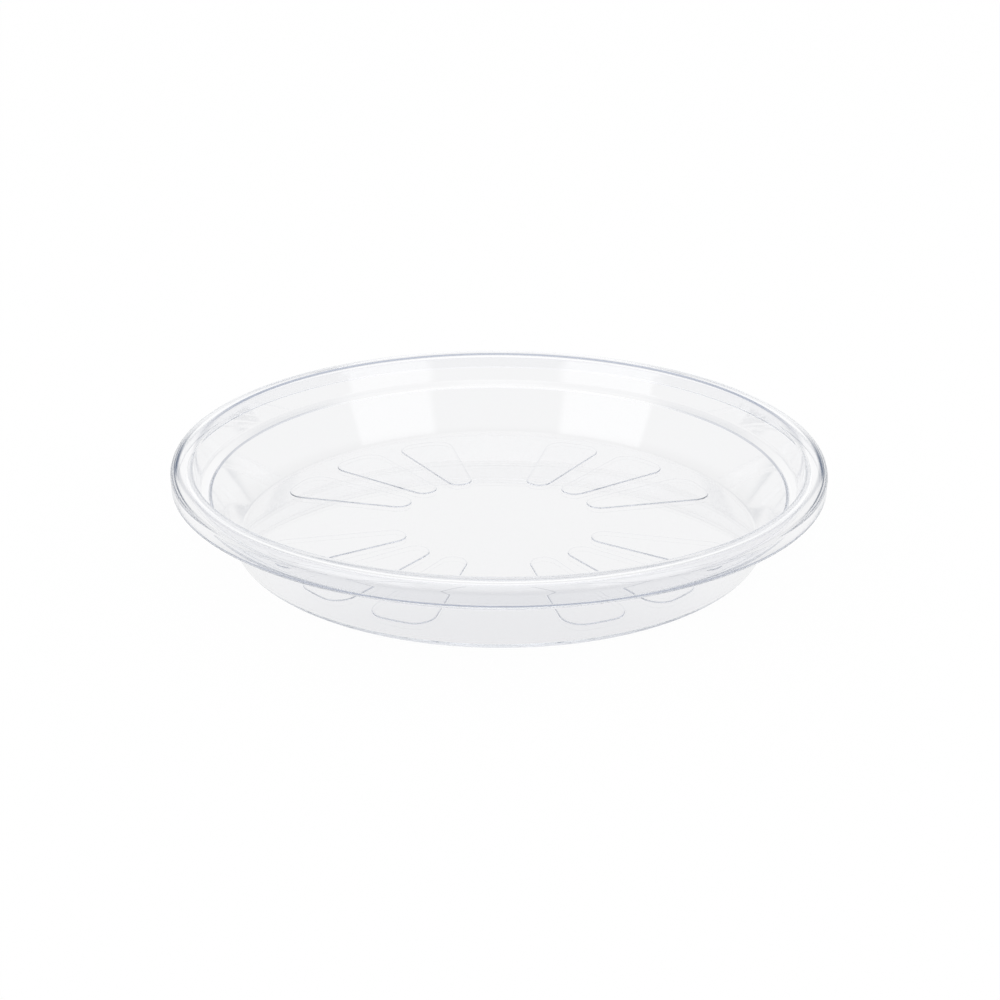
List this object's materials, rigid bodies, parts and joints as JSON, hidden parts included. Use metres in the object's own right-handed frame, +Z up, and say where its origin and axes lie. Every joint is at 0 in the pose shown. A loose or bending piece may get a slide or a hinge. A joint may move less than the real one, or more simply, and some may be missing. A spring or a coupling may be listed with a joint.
{
  "type": "plant saucer",
  "caption": "Round clear plastic plant saucer: a shallow dish with raised drainage pads on its floor, a stepped flaring wall and a rolled rim with a hanging lip, that catches water under a pot.",
  "frame": {"origin": "middle of the underside, on the surface that the saucer stands on", "axes": "+Z up along the saucer's axis; +X and +Y point at two of the four wide gaps between the groups of pads, -Y towards the viewer"},
  "size_m": [0.21, 0.21, 0.0298],
  "materials": {
    "clear_plastic": "clear moulded plastic, polished"
  },
  "bodies": {
    "root": {"saucer": "clear_plastic"}
  },
  "joints": []
}
